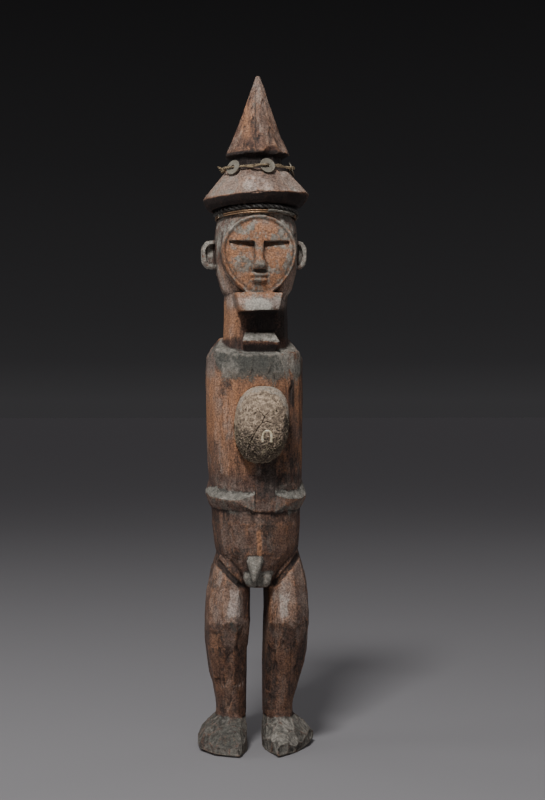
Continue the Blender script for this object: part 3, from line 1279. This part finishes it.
# %% Paint the lump
def paint_lump(piece):
    skin = Skin(piece)
    points = skin.points
    x, _, z = points.T
    fleck = noise(points, 4, 76, octaves=3)
    bulge = skin.bulge(3)
    reach = lump_reach(x, z) + 0.06 * noise(points, 7, 70, octaves=2)
    rim = rise(reach + 0.06 * fleck, 0.88, 0.95) * rise(z + 0.2 * x, 336, 354)
    foot = 0.75 * (1 - rise(z + 5 * fleck + 0.25 * x, 312, 340))
    hollow_left = 0.6 * rise(np.hypot((x + 15) / 10, (z - 320) / 13), 1.3, 0.6)
    lower_edge = rise(reach, 0.86, 0.97) * rise(-z, -345, -325)
    spots = 0.45 * rise(fleck, 0.05, 0.5)
    right_side = 0.75 * rise(x + 2 * fleck, 17, 25) * (1 - rise(z, 338, 356))
    bottom = 0.9 * (1 - rise(z + 4 * fleck, 304, 312))
    skin.paint("rim", rim * (0.55 + 0.6 * fleck))
    skin.paint("dark", np.max([foot, hollow_left, lower_edge, spots, right_side, bottom], axis=0))
    skin.paint("worn", rise(bulge, 0.05, 0.25))
    skin.paint("hollow", rise(-bulge, 0.03, 0.2))
    print("dark crust covers", round(float(np.mean(foot > 0.3)), 2), "of the lump")


lump = carve_lump()
paint_lump(lump)

# %% [markdown]
# The finish of the lump reads its painted layers in turn: a tan and buff crust, then the dark
# parts, then the grey rim, with worn tops lighter and hollows darker.

# %% Resin material
RESIN_TAN = (0.25, 0.185, 0.13, 1)
RESIN_BUFF = (0.6, 0.45, 0.32, 1)
RESIN_DARK = (0.05, 0.04, 0.031, 1)
RESIN_GREY = (0.47, 0.41, 0.34, 1)


def resin_material():
    material, tree, shader = new_material("resin_and_earth")
    grit = use(tree, GRIT, {"Size": 1100.0})
    colour = blend(tree, ramp(tree, grit["Tone"], 0.36, 0.64), RESIN_TAN, RESIN_BUFF)
    dark_mask = broken(tree, painted(tree, "dark"), 500.0, 0.6)
    colour = blend(tree, combine(tree, "MULTIPLY", dark_mask, 0.72), colour, RESIN_DARK)
    rim_mask = broken(tree, painted(tree, "rim"), 600.0, 0.35)
    colour = blend(tree, combine(tree, "MULTIPLY", rim_mask, 0.8), colour, RESIN_GREY)
    colour = blend(tree, combine(tree, "MULTIPLY", painted(tree, "worn"), 0.4), colour, RESIN_BUFF)
    colour = blend(tree, combine(tree, "MULTIPLY", painted(tree, "hollow"), 0.7), colour, RESIN_DARK)
    colour = speckled(tree, colour, grit["Speck"], 0.62, 1.3)
    tree.links.new(colour, shader.inputs["Base Color"])
    rough = combine(tree, "MULTIPLY_ADD", grit["Height"], 0.2, 0.75)
    tree.links.new(rough, shader.inputs["Roughness"])
    height = combine(tree, "MULTIPLY_ADD", grit["Speck"], 1.2, grit["Height"])
    roughen(tree, shader, height, 0.8, 0.0008)
    return material


lump.data.materials.append(resin_material())
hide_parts("chest_charge")
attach(lump, "root")
print("lump is dressed")

# %% [markdown]
# ## Trees of Geometry Nodes
# What repeats, or follows a line, is made by a tree of Geometry Nodes. Each tree here starts
# with named inputs and ends in the same two nodes: Realize Instances makes real faces of all
# copies, because copies don't leave Blender, and Set Material gives them their finish.

# %% Geometry tree helpers
SHAPE = "NodeSocketGeometry"


def geometry_tree(name, source, settings, result):
    """An empty Geometry Nodes tree with named inputs, and its first and last node."""
    tree = bpy.data.node_groups.new(name, "GeometryNodeTree")
    for socket, kind in [(source, SHAPE), *settings]:
        tree.interface.new_socket(name=socket, in_out="INPUT", socket_type=kind)
    tree.interface.new_socket(name=result, in_out="OUTPUT", socket_type=SHAPE)
    return tree, tree.nodes.new("NodeGroupInput"), tree.nodes.new("NodeGroupOutput")


def end_tree(tree, start, end, shape):
    """The last two nodes of a tree: real faces, and their finish."""
    real = add(tree, "GeometryNodeRealizeInstances", {"Geometry": shape})
    inputs = {"Geometry": real.outputs[0], "Material": start.outputs["Finish"]}
    finished = add(tree, "GeometryNodeSetMaterial", inputs)
    tree.links.new(finished.outputs[0], end.inputs[0])


def set_inputs(modifier, tree, values):
    for item in tree.interface.items_tree:
        if item.in_out == "INPUT" and item.name in values:
            modifier[item.identifier] = values[item.name]


print("geometry trees can be made")

# %% [markdown]
# ## Straw in the crust
# Short bits of straw and root stick to the lower half of the lump. The tree scatters points over
# the painted dark part and lays one small bent fibre on each, turned at random. A fibre has only
# a few faces, because there are many of them.

# %% The straw tree
def straw_tree():
    tree, start, end = geometry_tree("scattered_straw", "Lump", [
        ("Density", FLOAT), ("Length", FLOAT), ("Thickness", FLOAT), ("Seed", "NodeSocketInt"),
        ("Finish", "NodeSocketMaterial"),
    ], "Straw")
    dark = add(tree, "GeometryNodeInputNamedAttribute", {"Name": "dark"}, data_type="FLOAT")
    density = combine(tree, "MULTIPLY", dark.outputs["Attribute"], start.outputs["Density"])
    scatter = add(tree, "GeometryNodeDistributePointsOnFaces", {
        "Mesh": start.outputs["Lump"], "Density": density, "Seed": start.outputs["Seed"],
    })
    line = add(tree, "GeometryNodeCurvePrimitiveBezierSegment", {
        "Resolution": 4, "Start": (-0.5, 0, 0), "Start Handle": (-0.2, 0.12, 0.05),
        "End Handle": (0.2, -0.1, 0.05), "End": (0.5, 0.03, 0),
    }, mode="POSITION")
    ring = add(tree, "GeometryNodeCurvePrimitiveCircle", {
        "Resolution": 4, "Radius": start.outputs["Thickness"],
    })
    length = start.outputs["Length"]
    scale = add(tree, "ShaderNodeCombineXYZ", {0: length, 1: length, 2: length})
    sized = add(tree, "GeometryNodeTransform", {"Geometry": line.outputs[0], "Scale": scale.outputs[0]})
    fibre = add(tree, "GeometryNodeCurveToMesh", {
        "Curve": sized.outputs[0], "Profile Curve": ring.outputs[0], "Fill Caps": True,
    })
    spin = add(tree, "FunctionNodeRandomValue", {
        "Min": (0, 0, 0), "Max": (0, 0, 2 * math.pi), "Seed": start.outputs["Seed"],
    }, data_type="FLOAT_VECTOR")
    spin = add(tree, "FunctionNodeEulerToRotation", {"Euler": spin.outputs[0]})
    turned = add(tree, "FunctionNodeRotateRotation", {
        "Rotation": scatter.outputs["Rotation"], "Rotate By": spin.outputs[0],
    }, rotation_space="LOCAL")
    size = add(tree, "FunctionNodeRandomValue", {
        2: 0.5, 3: 1.2, "Seed": start.outputs["Seed"],
    }, data_type="FLOAT")
    placed = add(tree, "GeometryNodeInstanceOnPoints", {
        "Points": scatter.outputs["Points"], "Instance": fibre.outputs[0],
        "Rotation": turned.outputs[0], "Scale": size.outputs[1],
    })
    end_tree(tree, start, end, placed.outputs[0])
    return tree


STRAW = straw_tree()
print("the straw tree has", len(STRAW.nodes), "nodes")

# %% [markdown]
# The tree runs on a copy of the lump and keeps only the fibres, so they are a piece of their
# own, with a dry and paler finish.

# %% Lay the straw
STRAW_BROWN = (0.2, 0.15, 0.09, 1)
STRAW_PALE = (0.5, 0.42, 0.28, 1)


def lay_straw():
    material, tree, shader = new_material("dry_straw")
    grit = use(tree, GRIT, {"Size": 1500.0})
    colour = blend(tree, ramp(tree, grit["Tone"], 0.4, 0.6), STRAW_BROWN, STRAW_PALE)
    tree.links.new(colour, shader.inputs["Base Color"])
    shader.inputs["Roughness"].default_value = 0.7
    piece = put_in_scene("straw_bits", lump.data.copy())
    modifier = piece.modifiers.new("straw", "NODES")
    modifier.node_group = STRAW
    set_inputs(modifier, STRAW, {
        "Density": 95000.0, "Length": 5 * MM, "Thickness": 0.2 * MM, "Seed": 5, "Finish": material,
    })
    bake(piece)
    piece.data.calc_loop_triangles()
    print("straw:", len(piece.data.loop_triangles), "triangles")
    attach(piece, "root")


lay_straw()

# %% [markdown]
# The pale broken shell stays close to its CAD form. A copy is remeshed finely and its edges are
# worn, and its material is mottled from cream to buff.

# %% Shell rim
SHELL_BUFF = (0.8, 0.67, 0.44, 1)
SHELL_CREAM = (0.94, 0.87, 0.68, 1)


def dress_shell():
    piece = even_copy("charge_shell", "shell_rim", 0.28)
    skin = Skin(piece)
    skin.melt(4, 0.7)
    skin.push(0.25 + 0.2 * noise(skin.points, 1.8, 81, octaves=2))
    skin.write()
    thin_out(piece, 16000)
    material, tree, shader = new_material("old_shell")
    grit = use(tree, GRIT, {"Size": 1800.0})
    colour = blend(tree, ramp(tree, grit["Tone"], 0.4, 0.62), SHELL_BUFF, SHELL_CREAM)
    tree.links.new(colour, shader.inputs["Base Color"])
    shader.inputs["Roughness"].default_value = 0.42
    roughen(tree, shader, grit["Height"], 0.3, 0.0003)
    piece.data.materials.append(material)
    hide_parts("charge_shell")
    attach(piece, "root")


dress_shell()

# %% [markdown]
# ## Twisted cords with Geometry Nodes
# A cord is one or more strands that wind round one line. The tree below takes that line as a
# curve, copies it once for each strand, pushes every copy sideways round the line's own normal
# and binormal, and sweeps a small circle along it. Strands, thickness and number of turns are
# inputs of the tree, so the hat cord, the head cord, the wire and its whipping are all made by
# the same recipe.

# %% The strand tree
def vector(tree, operation, inputs):
    return add(tree, "ShaderNodeVectorMath", inputs, operation=operation).outputs[0]


def strand_tree():
    tree, start, end = geometry_tree("twisted_strands", "Line", [
        ("Strands", "NodeSocketInt"), ("Lay Radius", FLOAT), ("Strand Radius", FLOAT),
        ("Turns", FLOAT), ("Unevenness", FLOAT), ("Seed", FLOAT), ("Finish", "NodeSocketMaterial"),
    ], "Cord")
    upright = add(tree, "GeometryNodeSetCurveNormal", {"Curve": start.outputs["Line"]}, mode="Z_UP")
    copies = add(tree, "GeometryNodeDuplicateElements", {
        "Geometry": upright.outputs[0], "Amount": start.outputs["Strands"],
    }, domain="SPLINE")
    along = add(tree, "GeometryNodeSplineParameter").outputs["Factor"]
    normal = add(tree, "GeometryNodeInputNormal").outputs[0]
    tangent = add(tree, "GeometryNodeInputTangent").outputs[0]
    binormal = vector(tree, "CROSS_PRODUCT", {0: tangent, 1: normal})
    share = combine(tree, "DIVIDE", copies.outputs["Duplicate Index"], start.outputs["Strands"])
    turn = combine(tree, "MULTIPLY_ADD", along, start.outputs["Turns"], share)
    angle = combine(tree, "MULTIPLY", turn, 2 * math.pi)
    aside = vector(tree, "SCALE", {0: normal, "Scale": combine(tree, "COSINE", angle)})
    above = vector(tree, "SCALE", {0: binormal, "Scale": combine(tree, "SINE", angle)})
    circle = vector(tree, "ADD", {0: aside, 1: above})
    wound = vector(tree, "SCALE", {0: circle, "Scale": start.outputs["Lay Radius"]})
    where = add(tree, "GeometryNodeInputPosition").outputs[0]
    rough = add(tree, "ShaderNodeTexNoise", {
        "Vector": where, "W": start.outputs["Seed"], "Scale": 260.0, "Detail": 2.0,
    }, noise_dimensions="4D")
    centred = vector(tree, "SUBTRACT", {0: rough.outputs["Color"], 1: (0.5, 0.5, 0.5)})
    stray = vector(tree, "SCALE", {0: centred, "Scale": start.outputs["Unevenness"]})
    offset = vector(tree, "ADD", {0: wound, 1: stray})
    moved = add(tree, "GeometryNodeSetPosition", {"Geometry": copies.outputs[0], "Offset": offset})
    ring = add(tree, "GeometryNodeCurvePrimitiveCircle", {
        "Resolution": 7, "Radius": start.outputs["Strand Radius"],
    })
    tube = add(tree, "GeometryNodeCurveToMesh", {
        "Curve": moved.outputs[0], "Profile Curve": ring.outputs[0], "Fill Caps": True,
    })
    smooth = add(tree, "GeometryNodeSetShadeSmooth", {"Geometry": tube.outputs[0]})
    end_tree(tree, start, end, smooth.outputs[0])
    return tree


STRANDS = strand_tree()
print("the strand tree has", len(STRANDS.nodes), "nodes")

# %% [markdown]
# The next function lays strands along one line of points and turns them into a plain mesh. A
# second one joins several such meshes into one piece.

# %% Strands along a line
def strands(name, line, closed, finish, **sizes):
    """A cord along points in millimetres. Lay is the radius of its winding, thick that of a strand."""
    curve = bpy.data.curves.new(name, "CURVE")
    curve.dimensions = "3D"
    spline = curve.splines.new("POLY")
    spline.points.add(len(line) - 1)
    places = (np.array(line) + AXIS) * MM
    for point, place in zip(spline.points, places):
        point.co = (*place, 1)
    spline.use_cyclic_u = closed
    holder = put_in_scene(name + "_line", curve)
    modifier = holder.modifiers.new("strands", "NODES")
    modifier.node_group = STRANDS
    set_inputs(modifier, STRANDS, {
        "Strands": sizes.get("strands", 1), "Turns": float(sizes.get("turns", 0)),
        "Lay Radius": sizes.get("lay", 0) * MM, "Strand Radius": sizes["thick"] * MM,
        "Unevenness": sizes.get("uneven", 0) * MM, "Seed": float(sizes.get("seed", 1)),
        "Finish": finish,
    })
    mesh = evaluated_mesh(holder)
    bpy.data.objects.remove(holder)
    piece = put_in_scene(name, mesh)
    if finish.name not in [m.name for m in mesh.materials if m]:
        mesh.materials.clear()
        mesh.materials.append(finish)
    mesh.calc_loop_triangles()
    print(name, len(mesh.loop_triangles), "triangles")
    return piece


def joined(name, pieces):
    whole = bmesh.new()
    for piece in pieces:
        whole.from_mesh(piece.data)
    mesh = bpy.data.meshes.new(name)
    whole.to_mesh(mesh)
    whole.free()
    for material in pieces[0].data.materials:
        mesh.materials.append(material)
    for piece in pieces:
        bpy.data.objects.remove(piece)
    return put_in_scene(name, mesh)


print("strands can be laid and joined")

# %% [markdown]
# Plant fibre is light on its raised threads and dark between them, with dirt in patches. The
# coins and the wire are metal under a broken crust, which is duller and hardly metallic.

# %% Cord and metal finishes
def fibre_material(name, dark, light, dirt):
    material, tree, shader = new_material(name)
    grit = use(tree, GRIT, {"Size": 2600.0})
    colour = blend(tree, ramp(tree, grit["Height"], 0.38, 0.64), dark, light)
    colour = blend(tree, ramp(tree, grit["Tone"], 0.5, 0.68), colour, dirt)
    tree.links.new(colour, shader.inputs["Base Color"])
    shader.inputs["Roughness"].default_value = 0.88
    roughen(tree, shader, grit["Height"], 0.6, 0.0003)
    return material


def metal_material(name, bright, tarnish, crust, cover, dullness):
    material, tree, shader = new_material(name)
    grit = use(tree, GRIT, {"Size": 1700.0})
    colour = blend(tree, ramp(tree, grit["Height"], 0.4, 0.66), tarnish, bright)
    mask = broken(tree, cover, 900.0, 0.5)
    colour = blend(tree, mask, colour, crust)
    tree.links.new(colour, shader.inputs["Base Color"])
    metallic = combine(tree, "MULTIPLY_ADD", mask, -0.7, 0.85, clamp=True)
    tree.links.new(metallic, shader.inputs["Metallic"])
    rough = combine(tree, "MULTIPLY_ADD", mask, 0.4, dullness, clamp=True)
    tree.links.new(rough, shader.inputs["Roughness"])
    roughen(tree, shader, grit["Height"], 0.4, 0.0003)
    return material


PALE_FIBRE = fibre_material(
    "pale_fibre", (0.2, 0.14, 0.08, 1), (0.55, 0.43, 0.27, 1), (0.1, 0.07, 0.045, 1)
)
DARK_FIBRE = fibre_material(
    "dark_fibre", (0.035, 0.03, 0.028, 1), (0.2, 0.19, 0.175, 1), (0.05, 0.035, 0.025, 1)
)
GREY_FIBRE = fibre_material(
    "grey_fibre", (0.1, 0.09, 0.075, 1), (0.36, 0.33, 0.28, 1), (0.09, 0.06, 0.04, 1)
)
COIN_METAL = metal_material(
    "worn_copper_alloy", (0.42, 0.36, 0.28, 1), (0.2, 0.17, 0.135, 1), (0.27, 0.25, 0.2, 1), 0.5, 0.42
)
WIRE_METAL = metal_material(
    "brown_wire", (0.62, 0.4, 0.24, 1), (0.3, 0.18, 0.1, 1), (0.16, 0.12, 0.09, 1), 0.34, 0.4
)
print("finishes are mixed")

# %% [markdown]
# ## The hat cord and its coins
# The cord lies in the groove of the hat and follows the CAD line exactly, because it has to dive
# through each coin's hole. It is drawn as one closed line, then cut into even steps.

# %% The cord's line
COINS = {"coin_left": math.radians(-44), "coin_front": math.radians(14), "coin_right": math.radians(88)}
CORD_RADIUS = 33.9
CORD_HEIGHT = 602.2
COIN_OUT = 37.3
COIN_HEIGHT = 601.9
COIN_LEAN = 0.34
UP = np.array([0, 0, 1.0])


def around(direction, radius, z):
    return np.array([radius * math.sin(direction), -radius * math.cos(direction), z])


def cord_line(direction):
    radius = CORD_RADIUS
    for place in COINS.values():
        away = math.atan2(math.sin(direction - place), math.cos(direction - place))
        near = math.exp(-((away / 0.42) ** 4))
        dive = math.tanh(away / 0.036)
        beside = (COIN_OUT - 2.2 * dive) / math.cos(min(abs(away), 0.5))
        radius += (beside - radius) * near
    point = around(direction, radius, CORD_HEIGHT)
    point[2] += point[0] * 0.03
    return point


def even_line(line, step):
    """The same line with its points an equal step apart."""
    line = np.array(line)
    lengths = np.concatenate([[0], np.cumsum(np.linalg.norm(np.diff(line, axis=0), axis=1))])
    count = max(int(lengths[-1] / step), 2)
    stops = np.linspace(0, lengths[-1], count + 1)
    even = np.column_stack([np.interp(stops, lengths, line[:, axis]) for axis in range(3)])
    return even, lengths[-1]


HAT_RING, HAT_CORD_LENGTH = even_line([cord_line(2 * math.pi * k / 900) for k in range(901)], 0.42)
print("the hat cord is", round(HAT_CORD_LENGTH), "mm round")

# %% [markdown]
# Where the cord was tied there are two small balls of loops and three short ends. Old cord also
# comes loose in places, so five thinner lengths rise and dip beside it.

# %% Knot, ends and loose lengths
def knot_line(centre, out, size, loops, seed):
    """A tight ball of loops round a point, each loop turned a little from the last."""
    side = np.cross(UP, out)
    points = []
    for k in range(loops * 26):
        t = 2 * math.pi * k / 26
        lean = 0.9 * math.sin(t * 0.37 + seed)
        swing = math.cos(t) * size
        lift = math.sin(t) * size * 0.9
        flat = side * (swing * math.cos(lean)) + out * (swing * math.sin(lean) * 0.8)
        points.append(centre + flat + UP * lift)
    return points


KNOT_PLACE = math.radians(-82)
# Each knot ball: turn beside the knot's place, size and seed.
KNOT_BALLS = [(-0.06, 2.2, 1.0), (0.05, 2.0, 2.4)]
# Each loose end: rise, reach outward and sway to the side.
TAILS = [(2.4, 5.4, -1.2), (0.4, 4.6, 0.9), (-1.4, 3.4, -0.4)]
# Each loose length: first and last degree, seed and lift.
LOOSE = [
    (-76, -52, 11, 1.0), (-34, 6, 15, -1.5), (20, 82, 12, 1.4), (24, 80, 13, -1.5), (94, 200, 14, 1.1),
]


def pale_cord(name, line, lay, thick, turns, uneven, seed):
    return strands(
        name, line, False, PALE_FIBRE,
        strands=2, lay=lay, thick=thick, turns=turns, uneven=uneven, seed=seed,
    )


def tail_line(start, end):
    """A short line that arches a little between its ends."""
    bend = (start + end) / 2 + 0.8 * UP
    stops = np.linspace(0, 1, 14)
    return [start * (1 - t) ** 2 + 2 * bend * t * (1 - t) + end * t * t for t in stops]


def loose_line(low, high, seed, lift):
    line = []
    for t in np.linspace(0, 1, 60):
        swing = math.sin(math.pi * t) ** 0.6
        point = cord_line(math.radians(low + (high - low) * t)) * (1 + 0.012 * swing)
        point[2] = CORD_HEIGHT + point[0] * 0.03 + lift * swing * (0.7 + 0.4 * math.sin(9 * t + seed))
        line.append(point)
    return line


print("knot balls:", len(KNOT_BALLS), "ends:", len(TAILS), "loose lengths:", len(LOOSE))

# %% Hat cord
def dress_hat_cord():
    turns = round(HAT_CORD_LENGTH / 5.5)
    parts = [strands(
        "hat_cord_ring", HAT_RING[:-1], True, PALE_FIBRE,
        strands=2, lay=0.62, thick=0.66, turns=turns, uneven=0.35, seed=3,
    )]
    out = around(KNOT_PLACE, 1, 0)
    for shift, size, seed in KNOT_BALLS:
        centre = around(KNOT_PLACE + shift, CORD_RADIUS + 1.4, CORD_HEIGHT - 1.4)
        loops = knot_line(centre, out, size, 3, seed)
        parts.append(pale_cord("knot", loops, 0.4, 0.52, 14, 0.5, seed))
    side = np.cross(UP, out)
    start = around(KNOT_PLACE, CORD_RADIUS + 1.6, CORD_HEIGHT)
    for k, (rise_by, reach, sway) in enumerate(TAILS):
        end = start + out * reach + side * sway + rise_by * UP
        parts.append(pale_cord("tail", tail_line(start, end), 0.3, 0.34, 2.2, 0.5, k + 5))
    for low, high, seed, lift in LOOSE:
        line = loose_line(low, high, seed, lift)
        parts.append(pale_cord("loose", line, 0.36, 0.44, 10, 0.6, seed))
    cord = joined("hat_cord_twist", parts)
    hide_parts("hat_cord")
    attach(cord, "root")


dress_hat_cord()

# %% [markdown]
# Each coin is a fine copy of its CAD disc. A shallow ring is sunk between its rim and its hole,
# and wear has left soft dents all over it.

# %% Coins
def dress_coin(node, place):
    piece = even_copy(node, node + "_worn", 0.22)
    skin = Skin(piece)
    skin.melt(3)
    centre = around(place, COIN_OUT, COIN_HEIGHT)
    centre[2] += centre[0] * 0.03
    out = around(place, math.cos(COIN_LEAN), math.sin(COIN_LEAN))
    normals = skin.normals()
    radius = np.linalg.norm(skin.points - centre, axis=1)
    flat = rise(np.abs(normals @ out), 0.6, 0.9)
    field = within(radius, 3.4, 6.9, 0.35)
    skin.push(-flat * field * (0.16 + 0.06 * noise(skin.points, 1.6, 91, octaves=2)), normals)
    skin.push(-0.12 * rise(noise(skin.points, 3.5, 92), 0.2, 0.7), normals)
    skin.write()
    thin_out(piece, 14000)
    piece.data.materials.append(COIN_METAL)
    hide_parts(node)
    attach(piece, "root")


for coin, coin_place in COINS.items():
    dress_coin(coin, coin_place)

# %% [markdown]
# ## The head cord and the wire
# Both follow an oval just under the brim, which sags a little towards the back. The cord is
# thick and dark, of two strands. The wire goes round twice, so it is two rings of one strand each.

# %% Head cord and wire
SPREAD = 0.35
CORD_OVAL = {"wide": 40.6, "front": 42.6, "z": 560.3, "sag": 5.0, "slope": 0.014}
WIRE_OVAL = {"wide": 41.1, "front": 42.4, "z": 555.6, "sag": 3.6, "slope": 0.012}


def oval(direction, shape, lift=0.0, out=0.0):
    drop = shape["sag"] * math.tanh(1.3 * (1 - math.cos(direction)))
    wide = shape["wide"] + SPREAD * drop + out
    front = shape["front"] + SPREAD * drop + out
    z = shape["z"] + lift - drop + shape["wide"] * math.sin(direction) * shape["slope"]
    return np.array([wide * math.sin(direction), -front * math.cos(direction), z])


def full_turn(shape, lift, step):
    line, length = even_line([oval(2 * math.pi * k / 720, shape, lift) for k in range(721)], step)
    return line[:-1], length


def dress_head_cord():
    line, length = full_turn(CORD_OVAL, -0.4, 0.7)
    cord = strands(
        "head_cord_twist", line, True, DARK_FIBRE,
        strands=2, lay=1.25, thick=1.35, turns=round(length / 12), uneven=0.8, seed=8,
    )
    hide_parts("head_cord")
    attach(cord, "root")


def dress_wire():
    parts = []
    for lift, seed in ((0, 4.0), (-2, 5.0)):
        line, _ = full_turn(WIRE_OVAL, lift, 0.8)
        parts.append(strands("turn", line, True, WIRE_METAL, thick=0.8, uneven=0.7, seed=seed))
    wire = joined("head_wire_turns", parts)
    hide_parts("head_wire")
    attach(wire, "root")


dress_head_cord()
dress_wire()

# %% [markdown]
# A finer grey thread is wound tightly round both turns of the wire on the viewer's right, where
# it was joined, and tied in three small knots. The same tree makes it: one strand that lies well
# outside its line and turns many times.

# %% Thread round the wire
# Where the thread is wound round both turns of the wire: first and last degree.
WHIPPING = (12, 62)
# Each small knot of the thread: degree, size and seed.
TIES = [(-66, 1.7, 1.0), (-60, 1.3, 2.0), (78, 1.8, 3.1)]


def whip_wire():
    stops = np.radians(np.linspace(*WHIPPING, 201))
    bound = [oval(stop, WIRE_OVAL, -0.7, 0.4) for stop in stops]
    line, length = even_line(bound, 0.16)
    windings = [strands(
        "whip", line, False, GREY_FIBRE, lay=1.6, thick=0.55, turns=length / 1.3, uneven=0.35, seed=6,
    )]
    for degree, size, seed in TIES:
        direction = math.radians(degree)
        centre = oval(direction, WIRE_OVAL, -0.8, 0.8)
        loops = knot_line(centre, around(direction, 1, 0), size, 3, seed)
        windings.append(strands(
            "tie", loops, False, GREY_FIBRE,
            strands=2, lay=0.3, thick=0.42, turns=10, uneven=0.4, seed=seed,
        ))
    ties = joined("wire_whipping", windings)
    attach(ties, "root")


whip_wire()

# %% [markdown]
# ## Last step
# The boxes of the CAD model and of the dressed model are written side by side, so that the two
# can be compared after each render. Dressing must not change the object's size.

# %% Sizes and finish
bpy.context.view_layer.update()
